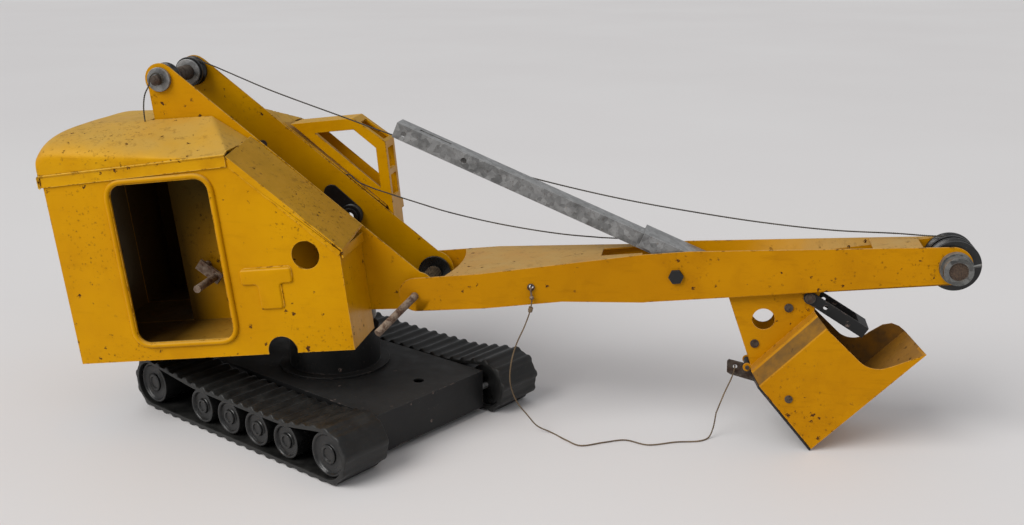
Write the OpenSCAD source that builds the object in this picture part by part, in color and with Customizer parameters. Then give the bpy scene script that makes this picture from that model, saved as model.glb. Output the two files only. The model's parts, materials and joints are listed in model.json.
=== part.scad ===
// Toy cable excavator: crawler chassis, slewing house, lattice-free pressed steel boom,
// sliding dipper stick and dump bucket. Millimetres, +Z up, +X towards the boom tip.
// The origin is on the ground, under the middle of the toy.

/* [House] */
// Half of the house's width over the side panels
house_half = 85; // [80:1:95]
// Distance from the slew axis to the rear panel
house_rear = 184; // [175:1:200]
// Distance from the slew axis to the front panels
house_front = 46; // [45:1:48]
// Height of the side panels at the rear corner
eaves_rear = 150; // [148:1:152]
// Angle that the house leans back on its worn king pin
lean = 6.5; // [0:0.1:7]
// Thickness of the pressed sheet
sheet = 1.2; // [1:0.1:1.3]

/* [Chassis] */
// Angle of the crawler chassis from the house, seen from above
chassis_yaw = -30; // [-90:1:90]
// Distance between the two crawler centre lines
track_gauge = 175; // [174:1:180]
// Width of one rubber crawler belt
belt_w = 44; // [40:1:46]
// Distance between the front and rear belt wheels
wheelbase = 220; // [216:1:224]
// Radius of the belt wheels
wheel_r = 17.5; // [17:0.5:18]
// Radius of the four road rollers on each side
roller_r = 14; // [12:0.5:14]
// Height of the chassis top plate
deck_h = 38; // [36:1:40]

/* [Boom] */
// Distance along the house from the slew axis to the boom tip axle
tip_x = 494; // [480:1:500]
// Half of the boom's width at its foot
foot_half = 42; // [40:1:44]
// Half of the boom's width beyond the taper
slim_half = 17; // [17:0.5:20]
// Radius of the cable sheaves at the boom tip
sheave_r = 19; // [16:0.5:19]

/* [Dipper] */
// Width of the dipper stick
stick_w = 17; // [15:0.5:17]
// Height of the dipper stick
stick_h = 12.5; // [11:0.5:12.5]
// Length of the dipper stick
stick_len = 350; // [340:1:352]
// Half of the bucket's width
bucket_half = 34; // [26:1:36]

/* [Hidden] */
$fn = 48;

// running clearance between a shaft and its bore
run_gap = 0.05;
// clearance between pieces of different moving bodies
gap = 0.5;
// height of the leaning house frame's origin above the ground
house_lift = 76;
// distance from the slew axis to the middle of the toy, where the origin is
toy_mid = 153.5;

// crawler sizes
belt_axle_r = 2.5;
roller_axle_r = 2;
belt_t = 3;
cleat_h = 1.5;
cleat_pitch = 12.8;
belt_in = wheel_r + gap;
belt_axis_z = belt_in + belt_t + cleat_h;
roller_x = [-43, -8, 27, 62];
roller_z = belt_t + cleat_h + gap + roller_r;
wheel_w = belt_w - 6;
tray_half = 61;
tray_front = 113;
drum_top = 69;
pin_r = 5;
nut_z = 77;

// main channel and gantry
chan_half = 32;
chan_rear = -109;
hub = [-98, 214];
foot = [86, 27];
foot_r = 13.5;
rod_r = 3;
floor_z = 14;

// boom
plate_t = sheet;
boom_top = 41.5;
boom_low = 3;
tip = [tip_x, 16];
tip_axle_r = 3.5;
saddle_pin = [289, 22.5];
saddle_pin_r = 3;

// dipper stick: its axis leans down towards the bucket and passes over the saddle pin
stick_dip = 29.3;
stick_off = 12.2;
stick_back = 248;
bracket_half = stick_w / 2 + sheet;

// bucket corner that all of its own sizes start from, and the slope of its throat
bucket_at = [341, -56.5];
bucket_tilt = 40;
bucket_len = 66;
bucket_deep = 74;
bucket_lip = 105;

yellow = [0.85, 0.6, 0.08];
black = [0.1, 0.1, 0.1];
steel = [0.62, 0.64, 0.66];
rust = [0.42, 0.3, 0.24];
string = [0.25, 0.22, 0.18];

// ---------- helpers ----------
// the leaning frame of the house and boom
module upper() translate([-toy_mid, 0, house_lift]) rotate([0, -lean, 0]) children();
// the turned frame of the crawler chassis
module lower() translate([-toy_mid, 0, 0]) rotate([0, 0, chassis_yaw]) children();
// an outline drawn in X and Z, thick from y0 to y1
module xz(y0, y1) translate([0, y1, 0]) rotate([90, 0, 0]) linear_extrude(y1 - y0) children();
// a round bar along Y
module bar_y(at, r, y0, y1) translate([at.x, y0, at.y]) rotate([-90, 0, 0]) cylinder(r = r, h = y1 - y0);
// a pipe along Y
module pipe_y(at, r_out, r_in, y0, y1) difference() {
    bar_y(at, r_out, y0, y1);
    bar_y(at, r_in, y0 - 1, y1 + 1);
}
// a flat rectangle with round corners between two opposite corners
module round_box(a, b, r) {
    translate([a.x + r, a.y]) square([b.x - a.x - 2 * r, b.y - a.y]);
    translate([a.x, a.y + r]) square([b.x - a.x, b.y - a.y - 2 * r]);
    for (x = [a.x + r, b.x - r], y = [a.y + r, b.y - r]) translate([x, y]) circle(r);
}
// a pulley along Y with a V groove cut into its rim
module grooved_pulley(at, r, bore, y0, y1, depth) {
    mid = (y0 + y1) / 2;
    half = (y1 - y0) / 2;
    translate([at.x, mid, at.y]) rotate([-90, 0, 0]) rotate_extrude()
        polygon([[bore, -half], [r, -half], [r, -half * 0.6], [r - depth, -half * 0.2],
            [r - depth, half * 0.2], [r, half * 0.6], [r, half], [bore, half]]);
}
// a flat plate with thickness t below four top corners given in order round its edge
module flat_sheet(c, t) polyhedron(
    points = concat(c, [for (p = c) p - [0, 0, t]]),
    faces = [[3, 2, 1, 0], [4, 5, 6, 7], [0, 1, 5, 4], [1, 2, 6, 5], [2, 3, 7, 6], [3, 0, 4, 7]]);

// ---------- cord ----------
cord_r = 0.7;
cord_sides = 8;
function unit(v) = v / norm(v);
function cord_dir(p, i) = unit(p[min(i + 1, len(p) - 1)] - p[max(i - 1, 0)]);
function cord_side(d) = unit(cross(d, abs(d.z) > 0.9 ? [0, 1, 0] : [0, 0, 1]));
function cord_ring(p, i) = let (d = cord_dir(p, i), u = cord_side(d), v = cross(d, u))
    [for (k = [0 : cord_sides - 1]) let (a = 360 * k / cord_sides) p[i] + cord_r * (cos(a) * u + sin(a) * v)];
module cord(p) {
    n = cord_sides;
    rings = len(p);
    polyhedron(
        points = [for (i = [0 : rings - 1]) each cord_ring(p, i)],
        faces = concat(
            [[for (k = [0 : n - 1]) k]],
            [[for (k = [0 : n - 1]) rings * n - 1 - k]],
            [for (i = [0 : rings - 2], k = [0 : n - 1]) let (j = (k + 1) % n)
                [i * n + k, (i + 1) * n + k, (i + 1) * n + j, i * n + j]]));
}

// ---------- crawler chassis ----------
module chassis_frame() color(black) lower() difference() {
    translate([-tray_front, -tray_half, 6]) cube([2 * tray_front, 2 * tray_half, deck_h - 6]);
    translate([-tray_front + sheet, -tray_half + sheet, 5])
        cube([2 * (tray_front - sheet), 2 * (tray_half - sheet), deck_h - 5 - sheet]);
    cylinder(r = pin_r, h = 60);
    translate([87, 12, 0]) cylinder(r = 4.5, h = 60);
    for (x = [-1, 1]) bar_y([x * wheelbase / 2, belt_axis_z], belt_axle_r, -80, 80);
    for (x = roller_x) bar_y([x, roller_z], roller_axle_r, -80, 80);
}

module turntable_drum() color(black) lower() difference() {
    union() {
        translate([0, 0, deck_h]) cylinder(r = 46, h = 2);
        translate([0, 0, deck_h]) cylinder(r = 38, h = drum_top - deck_h);
    }
    translate([0, 0, deck_h - 1]) cylinder(r = 38 - sheet, h = drum_top - deck_h + 1 - sheet);
    cylinder(r = pin_r, h = 100);
}

module king_pin() color(steel) lower() {
    translate([0, 0, deck_h - sheet - 4]) cylinder(r = 9, h = 4, $fn = 6);
    translate([0, 0, deck_h - sheet]) cylinder(r = pin_r, h = 50);
}

module king_nut() color(steel) lower() difference() {
    union() {
        translate([0, 0, nut_z]) cylinder(r = 12, h = 1.5);
        translate([0, 0, nut_z + 1.5]) cylinder(r = 9, h = 5, $fn = 6);
    }
    cylinder(r = pin_r, h = 200);
}

axle_end = track_gauge / 2 + wheel_w / 2 - 3;
module wheel_axles() color(steel) lower() {
    for (x = [-1, 1]) bar_y([x * wheelbase / 2, belt_axis_z], belt_axle_r, -axle_end, axle_end);
    for (x = roller_x) bar_y([x, roller_z], roller_axle_r, -axle_end, axle_end);
}

// the belt's path seen from the side: under and round both wheels, sagging onto the rollers
sag_z = roller_z + roller_r + gap;
module belt_outline(grow) {
    h = wheelbase / 2;
    r = belt_in + grow;
    difference() {
        union() {
            for (x = [-h, h]) translate([x, belt_axis_z]) circle(r);
            translate([-h, belt_axis_z - r]) square([2 * h, r]);
            polygon([[-h, belt_axis_z], [-h, belt_axis_z + r], [roller_x[0] - 6, sag_z + grow],
                [roller_x[3] + 6, sag_z + grow], [h, belt_axis_z + r], [h, belt_axis_z]]);
        }
    }
}
module cleat(at, turn, w) translate([at.x, 0, at.y]) rotate([0, -turn, 0])
    translate([-2.6, -w / 2, -0.6]) cube([5.2, w, cleat_h + 0.6]);
module belt(side) color(black) lower() translate([0, side * track_gauge / 2, 0]) {
    h = wheelbase / 2;
    r = belt_in + belt_t;
    difference() {
        xz(-belt_w / 2, belt_w / 2) belt_outline(belt_t);
        xz(-belt_w, belt_w) belt_outline(0);
    }
    for (i = [-8 : 8]) cleat([i * cleat_pitch, belt_axis_z - r], 180, belt_w);
    for (e = [-1, 1], a = [-75 : 37.5 : 75])
        cleat([e * (h + r * cos(a)), belt_axis_z + r * sin(a)], e > 0 ? a - 90 : 90 - a, belt_w);
    for (x = [-42 : cleat_pitch : 62]) cleat([x, sag_z + belt_t], 0, belt_w);
}
module right_belt() belt(-1);
module left_belt() belt(1);

// a belt wheel or road roller: a drum with a dished face and a hub on its outer side
module wheel(side, x, z, r, axle_r) color(black) lower()
    translate([x, side * track_gauge / 2, z]) rotate([side * -90, 0, 0]) difference() {
        translate([0, 0, -wheel_w / 2]) cylinder(r = r, h = wheel_w);
        translate([0, 0, wheel_w / 2 - 2.5]) difference() {
            cylinder(r = r - 2.5, h = 5);
            cylinder(r = r * 0.42, h = 5);
        }
        translate([0, 0, -wheel_w / 2 - 1]) cylinder(r = axle_r + run_gap, h = wheel_w - 0.5);
    }
module belt_wheel(side, end) wheel(side, end * wheelbase / 2, belt_axis_z, wheel_r, belt_axle_r);
module road_roller(side, i) wheel(side, roller_x[i], roller_z, roller_r, roller_axle_r);

// ---------- house ----------
module floor_plate() color(yellow) upper() difference() {
    union() {
        translate([-house_rear + sheet, -house_half + sheet, floor_z])
            cube([house_rear + house_front - 2 * sheet, 2 * (house_half - sheet), sheet]);
        translate([0, 0, -2.1]) cylinder(r = 36, h = floor_z + 2.1 + sheet);
    }
    translate([0, 0, -2.1 + sheet]) cylinder(r = 36 - sheet, h = 40);
    translate([0, 0, -10]) cylinder(r = pin_r + 2.5, h = 60);
}

// side panel outline with the sloping front shoulder
shoulder = [-31, 155];
nose_z = 80;
module side_outline() polygon([[-house_rear, 0], [house_front - 1, 0], [house_front - 1, nose_z],
    shoulder, [-house_rear, eaves_rear]]);
door_low = [-130, 15];
door_high = [-49, 142];
module door_shape(grow) translate([0, 0])
    round_box(door_low - [grow, grow], door_high + [grow, grow], 10 + grow);
module right_side_panel() color(yellow) upper() {
    y0 = -house_half;
    difference() {
        union() {
            xz(y0, y0 + sheet) side_outline();
            xz(y0 - 1.2, y0 + sheet) door_shape(4);
            xz(y0 - 1, y0 + sheet) {
                round_box([-34, 58], [6, 70], 3);
                round_box([-22, 37], [-4, 62], 3);
            }
        }
        xz(y0 - 5, y0 + 5) door_shape(0);
        bar_y([19, 77], 11, y0 - 5, y0 + 5);
        bar_y([-12, 2], 12, y0 - 5, y0 + 5);
    }
    translate([house_front - sheet, y0, 0]) cube([sheet, house_half - chan_half - 1, nose_z]);
}
module left_side_panel() color(yellow) upper() {
    y1 = house_half;
    difference() {
        union() {
            xz(y1 - sheet, y1) side_outline();
            xz(y1 - sheet, y1 + 1.2) door_shape(4);
        }
        xz(y1 - 5, y1 + 5) door_shape(0);
        bar_y([8, 72], 10, y1 - 5, y1 + 5);
    }
    translate([house_front - sheet, chan_half + 1, 0]) cube([sheet, house_half - chan_half - 1, nose_z]);
}
module rear_panel() color(yellow) upper()
    translate([-house_rear, -house_half + sheet, 0]) cube([sheet, 2 * (house_half - sheet), eaves_rear]);

// roof: a domed rear end that straightens to a ridge along the channel
roof_x0 = -house_rear - 2;
roof_x1 = shoulder.x;
fold_x = -60;
function roof_rear(u) = 154 + 31 * pow(1 - pow(min(u, 1), 4), 0.25);
function roof_front(y) = 158 + 24 * min(1, (house_half + 1 - abs(y)) / 53);
function roof_mix(x) = pow(min(1, max(0, (x - roof_x0) / (fold_x - roof_x0))), 1.4);
function roof_round(x) = 1 - pow(1 - min(1, (x - roof_x0) / 14), 3);
function facet(x, y) = 182 - 0.75 * (x - fold_x);
function roof_z(x, y) = let (w = house_half + 1, m = roof_mix(x),
    full = (1 - m) * roof_rear(abs(y) / w) + m * roof_front(y))
    min(max(158, facet(x, y)), 154 + 4 * m + (full - 154 - 4 * m) * (0.6 + 0.4 * roof_round(x)));
roof_xs = [roof_x0, -182, -176, -168, -154, -136, -118, -100, -82, fold_x, -50, -40, roof_x1];
roof_y_end = house_half + 1;
roof_ys = [for (k = [-12 : 12]) roof_y_end * sin(90 * k / 12)];
module roof_panel() color(yellow) upper() difference() {
    union() {
        nx = len(roof_xs);
        ny = len(roof_ys);
        polyhedron(
            points = concat(
                [for (x = roof_xs, y = roof_ys) [x, y, roof_z(x, y)]],
                [for (x = roof_xs, y = roof_ys) [x, y, roof_z(x, y) - 1.6 * sheet]]),
            faces = concat(
                [for (i = [0 : nx - 2], j = [0 : ny - 2]) let (a = i * ny + j) [a, a + 1, a + ny]],
                [for (i = [0 : nx - 2], j = [0 : ny - 2]) let (a = i * ny + j) [a + 1, a + ny + 1, a + ny]],
                [for (i = [0 : nx - 2], j = [0 : ny - 2]) let (a = nx * ny + i * ny + j) [a, a + ny, a + 1]],
                [for (i = [0 : nx - 2], j = [0 : ny - 2]) let (a = nx * ny + i * ny + j) [a + 1, a + ny, a + ny + 1]],
                [for (j = [0 : ny - 2]) let (b = nx * ny) [j, j + b, j + 1 + b, j + 1]],
                [for (j = [0 : ny - 2]) let (a = (nx - 1) * ny + j, b = nx * ny) [a, a + 1, a + 1 + b, a + b]],
                [for (i = [0 : nx - 2]) let (a = i * ny, b = nx * ny) [a, a + ny, a + ny + b, a + b]],
                [for (i = [0 : nx - 2]) let (a = i * ny + ny - 1, b = nx * ny) [a, a + b, a + ny + b, a + ny]]));
        for (s = [-1, 1]) translate([0, s > 0 ? house_half : -house_half - sheet, 0]) xz(0, sheet)
            polygon([[roof_x0, 145], [roof_x1 - 4, 149], [roof_x1 - 1, 158], [roof_x0, 154]]);
        translate([roof_x0, 0, 0]) rotate([90, 0, 90]) linear_extrude(sheet) polygon(concat(
            [[-roof_y_end, 145]], [for (y = roof_ys) [y, roof_z(roof_x0, y) - 0.2]], [[roof_y_end, 145]]));
    }
    translate([chan_rear - 3, -chan_half - 1.5, 100]) cube([200, 2 * chan_half + 3, 100]);
    translate([-115, -36.5, 100]) cylinder(r = 2.5, h = 100);
}

// hoods: sheets down the shoulder, falling a little towards the sides, with a turned edge
hood_y0 = chan_half + 2.5;
hood_x0 = -30;
hood_x1 = 49;
hood_z = 163.5;
hood_fall = 6.5;
hood_drop = 77.5;
module hood(side) color(yellow) upper() mirror([0, side > 0 ? 1 : 0, 0]) {
    flat_sheet([[hood_x0, -hood_y0, hood_z], [hood_x0, -house_half - sheet, hood_z - hood_fall],
        [hood_x1, -house_half - sheet, hood_z - hood_fall - hood_drop],
        [hood_x1, -hood_y0, hood_z - hood_drop]], sheet * 1.4);
    xz(-house_half - sheet, -house_half) polygon([[-29, 155], [-29, 148], [45, 75], [48, 78]]);
    translate([hood_x1 - sheet, -house_half - sheet, 73]) cube([sheet, house_half - hood_y0 + sheet, 7]);
}
module right_hood() hood(-1);
module left_hood() hood(1);

// cab frame: an open window frame that stands on the left hood beside the channel
cab_y0 = 36;
cab_y1 = 62;
module cab_outline() polygon([[-24, 161], [31, 161], [56, 139], [54, 62], [50.4, 62], [50.4, 84.5], [-20, 157.5]]);
module cab_inner() polygon([[-4, 151.5], [30, 151.5], [47, 134.5], [46, 101]]);
module cab_frame() color(yellow) upper() difference() {
    xz(cab_y0, cab_y1) cab_outline();
    xz(cab_y0 + sheet, cab_y1 - sheet) intersection() {
        translate([-1.6, -1.6]) cab_outline();
        translate([-60, 40]) square([113 - sheet, 119.8 - sheet]);
    }
    xz(0, 100) cab_inner();
    translate([43.5, cab_y0 + 5, 147.5]) rotate([0, 41, 0])
        translate([-12, 0, -8]) cube([24, cab_y1 - cab_y0 - 10, 16]);
    for (z = [92, 115]) translate([45, cab_y0 + 5, z]) cube([15, cab_y1 - cab_y0 - 10, 18]);
}

// main channel: two tall cheeks that carry the gantry, the winding gear and the boom
module cheek_outline() difference() {
    union() {
        translate(hub) circle(12.5);
        polygon([[chan_rear, floor_z + sheet], [chan_rear, hub.y + 4], [-89, 223], [90, 43.5],
            [foot.x, foot.y - foot_r], [44, floor_z + sheet]]);
        translate(foot + [0, 2]) circle(15);
    }
    translate(foot) circle(rod_r + run_gap);
}
module main_channel() color(yellow) upper() {
    difference() {
        for (s = [-1, 1]) translate([0, s > 0 ? chan_half - sheet : -chan_half, 0])
            xz(0, sheet) cheek_outline();
        bar_y(hub, 4, -50, 50);
        bar_y([20, 81], 5, 0, 50);
        bar_y([-87, 62], 3 + run_gap, -50, 50);
        bar_y([-49, 147], 3, 0, 50);
    }
    translate([chan_rear, -chan_half + sheet, floor_z + sheet])
        cube([sheet, 2 * (chan_half - sheet), 168]);
}

module gantry_axle() color(rust) upper() {
    bar_y(hub, 4, -41, 41);
    pipe_y(hub, 6, 4, -18.9, 18.9);
}
module gantry_washers() color(steel) upper() for (s = [-1, 1]) {
    y0 = chan_half + 0.1;
    pipe_y(hub, 9.5, 4, s > 0 ? y0 : -y0 - 3, s > 0 ? y0 + 3 : -y0);
    pipe_y(hub, 10.5, 6, s > 0 ? 16.5 : -18.9, s > 0 ? 18.9 : -16.5);
}
module right_gantry_pulley() color(black) upper()
    grooved_pulley(hub, 12, 4 + run_gap, -29.4, -19.4, 3);
module left_gantry_pulley() color(black) upper()
    grooved_pulley(hub, 12, 4 + run_gap, 19.4, 29.4, 3);
module idler_pulley() color(black) upper()
    grooved_pulley([20, 81], 9.5, 5 + run_gap, 23.3, 28.8, 2);
module idler_axle() color(black) upper() {
    pipe_y([20, 81], 5, 3.6, 21.4, chan_half + 1.5);
    pipe_y([20, 81], 7, 5, 21.4, 22.8);
    difference() {
        xz(29.3, chan_half - sheet) hull() {
            translate([20, 81]) circle(9.5);
            translate([5, 101]) circle(7);
        }
        bar_y([20, 81], 5, 0, 50);
    }
}
module hoist_drum() color(rust) upper() {
    pipe_y([-87, 62], 8, 3, -26, 26);
    for (y = [-29, 26]) pipe_y([-87, 62], 18, 3, y, y + 3);
}
module hoist_crank() color(rust) upper() {
    bar_y([-87, 62], 3, -42, 36);
    translate([-87, -41, 62]) rotate([0, 42, 0]) translate([-5, -1.5, -4.5]) cube([22, 3, 9]);
    bar_y([-78, 53.5], 3, -76, -41);
}

// ---------- boom ----------
boom_mid = 265;
boom_taper = 140;
module boom_side() {
    translate([foot.x + 1, foot.y + 1]) circle(foot_r);
    translate([tip.x - 2, tip.y + 1]) circle(14.5);
    polygon([[foot.x + 1, boom_top], [300, boom_top], [tip.x - 2, tip.y + 15.5],
        [tip.x - 2, tip.y - 13.5], [boom_mid - 3, boom_low], [200, 11.5], [137, 13.5],
        [foot.x + 1, foot.y + 1 - foot_r]]);
}
module boom_plan(side) polygon([[60, side * foot_half], [boom_taper, side * foot_half],
    [boom_mid, side * slim_half], [530, side * slim_half], [530, side * (slim_half - plate_t)],
    [boom_mid - 0.5, side * (slim_half - plate_t)], [boom_taper - 0.5, side * (foot_half - plate_t)],
    [60, side * (foot_half - plate_t)]]);
module boom_plate(side) color(yellow) upper() difference() {
    intersection() {
        xz(-60, 60) boom_side();
        translate([0, 0, -10]) linear_extrude(80) boom_plan(side);
    }
    bar_y(foot, rod_r + run_gap, -60, 60);
    bar_y(tip, tip_axle_r, -60, 60);
    bar_y(saddle_pin, saddle_pin_r, -60, 60);
    if (side < 0) bar_y([178, 26.6], 1.8, -60, 0);
}
module right_boom_plate() boom_plate(-1);
module left_boom_plate() boom_plate(1);
module boom_rear_web() color(yellow) upper() difference() {
    translate([0, 0, boom_top - sheet]) linear_extrude(sheet) difference() {
        polygon([[104, plate_t - foot_half], [boom_taper - 0.5, plate_t - foot_half],
            [boom_mid - 0.5, plate_t - slim_half], [boom_mid - 0.5, slim_half - plate_t],
            [boom_taper - 0.5, foot_half - plate_t], [104, foot_half - plate_t]]);
        translate([-30, 0]) circle(147, $fn = 144);
        translate([232, -10.5]) square([80, 21]);
    }
}
module boom_front_web() color(yellow) upper() {
    drop = 10 / (tip.x - 302);
    y1 = slim_half - plate_t;
    z0 = boom_top - drop * (436 - 300);
    z1 = boom_top - drop * (472 - 300);
    flat_sheet([[472, -y1, z1], [436, -y1, z0], [436, y1, z0], [472, y1, z1]], sheet);
}
module foot_spacers() color(steel) upper() for (s = [-1, 1])
    pipe_y(foot, 6, rod_r + run_gap, s > 0 ? 32.5 : -40.3, s > 0 ? 40.3 : -32.5);

rod_bend = -47;
module winch_rod() color(rust) upper() {
    bar_y(foot, rod_r, rod_bend, 47);
    translate([foot.x, rod_bend, foot.y]) rotate([110, 0, -29]) cylinder(r = rod_r, h = 45);
    translate([foot.x, rod_bend, foot.y]) sphere(r = rod_r + 0.02);
}
module winch_spool() color(black) upper() {
    pipe_y(foot, 5.5, rod_r, -28, 24);
    pipe_y(foot, 14, rod_r, 24, 27);
}
module tip_axle() color(steel) upper() {
    bar_y(tip, tip_axle_r, -slim_half - 0.1, slim_half + 0.1);
    pipe_y(tip, 12, 7, -22.5, -slim_half - 0.1);
    pipe_y(tip, 10.5, 7, -30, -22.5);
    bar_y(tip, 7, -28.6, -slim_half - 0.1);
    bar_y(tip, 8, slim_half + 0.1, 22);
    translate([tip.x + 9.5, -26, tip.y + 2]) rotate([0, 80, 0]) cylinder(r = 1.1, h = 7);
}
module right_sheave() color(black) upper() grooved_pulley(tip, sheave_r, tip_axle_r + run_gap, -14, -2, 4);
module left_sheave() color(black) upper() grooved_pulley(tip, sheave_r, tip_axle_r + run_gap, 2, 14, 4);
module saddle_bolt() color(black) upper() {
    bar_y(saddle_pin, saddle_pin_r, -slim_half, slim_half);
    translate([saddle_pin.x, -slim_half, saddle_pin.y]) rotate([90, 0, 0]) cylinder(r = 6, h = 3, $fn = 6);
    translate([saddle_pin.x, slim_half + 3, saddle_pin.y]) rotate([90, 0, 0]) cylinder(r = 6, h = 3, $fn = 6);
}
hook = [178, -37, 26.3];
module cord_hook() color(rust) upper() {
    translate(hook) rotate([-90, 0, 0]) cylinder(r = 0.8, h = 6.5);
    translate(hook - [0, 0, 7]) cylinder(r = 0.8, h = 7);
    translate(hook) sphere(r = 0.8);
    translate(hook + [0, 6.5, 0]) sphere(r = 0.8);
    translate(hook + [0, 6.5, 0]) cylinder(r = 0.8, h = 4);
    translate(hook - [0, 0, 8]) sphere(r = 1.7);
}

// ---------- dipper ----------
// frame along the stick: X runs down the stick, origin at its axis beside the saddle pin
module along_stick() translate([saddle_pin.x, 0, saddle_pin.y]) rotate([0, stick_dip, 0])
    translate([0, 0, stick_off]) children();
module saddle_sleeve() color(steel) upper() along_stick() difference() {
    w = 13;
    t = 1.5;
    union() {
        translate([-36, -w - t, -3]) cube([56, 2 * (w + t), stick_h / 2 + 3.4 + t]);
        for (y = [-w - t, w]) translate([0, y, 0]) xz(0, t) {
            translate([0, -stick_off]) circle(8);
            polygon([[-8, -stick_off], [8, -stick_off], [18, -2], [-30, -2]]);
        }
        bar_y([0, -stick_off], 5.6, -w, w);
    }
    translate([-60, -w, -3.1]) cube([120, 2 * w, stick_h / 2 + 3.5]);
    bar_y([0, -stick_off], saddle_pin_r + run_gap, -40, 40);
}
module dipper_stick() color(steel) upper() along_stick() difference() {
    translate([-stick_back, -stick_w / 2, -stick_h / 2]) cube([stick_len, stick_w, stick_h]);
    translate([-stick_back - 1, -stick_w / 2 + sheet, -stick_h / 2 - 1])
        cube([stick_len + 2, stick_w - 2 * sheet, stick_h + 1 - sheet]);
    bar_y([8 - stick_back, -0.5], 2.2, -40, 40);
    bar_y([60 - stick_back, 0], 2.4, -40, 40);
    translate([18 - stick_back, -2, 0]) cube([27, 4, 20]);
    bar_y([89, 0], 2.5, -40, 40);
}

// door hinge, and the bolt that the bail swings on
door_pin = bucket_at + [-2.9, -1.2];
door_pin_r = 1.2;
bail_pin = [389, -3];
bail_pin_r = 3;
rivet_at = saddle_pin + stick_off * [sin(stick_dip), cos(stick_dip)] + 89 * [cos(stick_dip), -sin(stick_dip)];
module bracket_outline() {
    polygon([[326, 8], bucket_at, bucket_at + bucket_len * [cos(bucket_tilt), sin(bucket_tilt)],
        [398, 4], [390, 9]]);
    difference() {
        translate(door_pin) circle(3.4);
        translate(bucket_at) rotate(bucket_tilt) translate([0, -20]) square([40, 20]);
    }
}
module bucket_bracket() color(yellow) upper() difference() {
    for (s = [-1, 1]) translate([0, s > 0 ? stick_w / 2 : -stick_w / 2 - sheet, 0])
        xz(0, sheet) bracket_outline();
    bar_y([353, -18.5], 8.5, -40, 40);
    bar_y(rivet_at, 2.5, -40, 40);
    bar_y([345, -38], 2.5, -40, 40);
    bar_y(bail_pin, bail_pin_r, -40, 40);
    bar_y(door_pin, door_pin_r, -40, 40);
}
// a headed pin right across the bracket
module headed_pin(at, r, half) {
    bar_y(at, r, -half, half);
    bar_y(at, r * 1.35, half, half + 1.3);
    bar_y(at, r * 1.35, -half - 1.3, -half);
}
module bracket_rivets() color(rust) upper() {
    headed_pin(rivet_at, 2.5, bracket_half);
    headed_pin([345, -38], 2.5, bracket_half);
    headed_pin(bail_pin, bail_pin_r, 12.3);
    headed_pin(door_pin, door_pin_r, bracket_half);
    for (s = [-1, 1]) in_bucket() translate([8, 0, -32]) rotate([s * -90, 0, 0]) {
        translate([0, 0, bucket_half]) cylinder(r = 3, h = 1.3);
        translate([0, 0, bucket_half - sheet]) cylinder(r = 2, h = sheet);
    }
}

// frame of the bucket: X along its throat, Z out of its back
module in_bucket() translate([bucket_at.x, 0, bucket_at.y]) rotate([0, -bucket_tilt, 0]) children();
module bucket_ring(w, low, high) polygon([[-w, low], [w, low], [w, -10], [w - 12, high], [12 - w, high], [-w, -10]]);
// what is cut from the two side walls: the right one is worn down to the lip
lip_skew = 6;
module worn_side() {
    polygon([[66.6, -11], [66.5, -45], [80, -45], [80, -63.8], [104, -73.4], [111, -70], [111, -11]]);
    translate([86, -45]) circle(19.5);
}
module throat() {
    polygon([[69, 10], [67, -10], [67, -38], [84, -38], [84, -55], [96, -57.5], [102, -61.5],
        [104.5, -67], [bucket_lip, -bucket_deep], [140, -bucket_deep], [140, 10]]);
    translate([84, -38]) circle(17);
}
module bucket_shell() color(yellow) upper() in_bucket() difference() {
    rotate([90, 0, 90]) translate([0, 0, -20]) linear_extrude(140) difference() {
        bucket_ring(bucket_half, -bucket_deep, 0);
        bucket_ring(bucket_half - sheet, sheet - bucket_deep, -sheet);
    }
    xz(-50, 50) polygon([[-30, 10], [0, 10], [0, 0], [-8, -bucket_deep], [-10, -90], [-30, -90]]);
    rotate([0, 0, lip_skew]) translate([-3.6, 0, 0]) {
        xz(-60, 60) throat();
        xz(-60, -25) worn_side();
    }
    bar_y([8, -32], 2, -50, 50);
}
module bucket_door() color(black) upper() in_bucket() difference() {
    union() {
        intersection() {
            xz(-50, 50) polygon([[-1, -4.5], [-8.6, -bucket_deep], [-10, -bucket_deep], [-2.4, -4.5]]);
            rotate([90, 0, 90]) translate([0, 0, -20]) linear_extrude(30)
                bucket_ring(bucket_half, -bucket_deep, 0);
        }
        xz(-7.5, 7.5) polygon([[-1, 0], [-1.2, -6], [-2.6, -6], [-4, 0]]);
        bar_y(door_pin_in, 2.5, -8, 8);
    }
    bar_y(door_pin_in, door_pin_r + run_gap, -20, 20);
}
// the door hinge seen from the bucket's own frame
door_step = door_pin - bucket_at;
door_pin_in = [door_step.x * cos(bucket_tilt) + door_step.y * sin(bucket_tilt),
    door_step.y * cos(bucket_tilt) - door_step.x * sin(bucket_tilt)];
module dump_lever() color(rust) upper() in_bucket() difference() {
    xz(-3.5, -1.5) polygon([[-12.5, 13.5], [-19, 7], [-18.5, 4], [-8, -14.6], [-4.2, -19], [-2.5, -4.5],
        [-2.2, 0], [-10.5, 13.5]]);
    bar_y(door_pin_in, 2.5, -20, 20);
    xz(-50, 50) polygon([[-1, 0], [-1.2, -6], [-2.6, -6], [-4, 0]]);
    bar_y([-11.2, 5.8], 1.8, -20, 20);
}
module bail() color(black) upper() translate([bail_pin.x, 0, bail_pin.y]) rotate([0, 38, 0]) difference() {
    union() {
        for (y = [-12, 10.2]) translate([0, y, 0]) xz(0, 1.8) {
            circle(5);
            translate([0, -4.5]) square([50, 9]);
        }
        translate([41, -12, -4.5]) cube([9, 24, 9]);
    }
    bar_y([0, 0], bail_pin_r + run_gap, -40, 40);
    bar_y([14, 0], 1.8, -40, 40);
}

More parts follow.
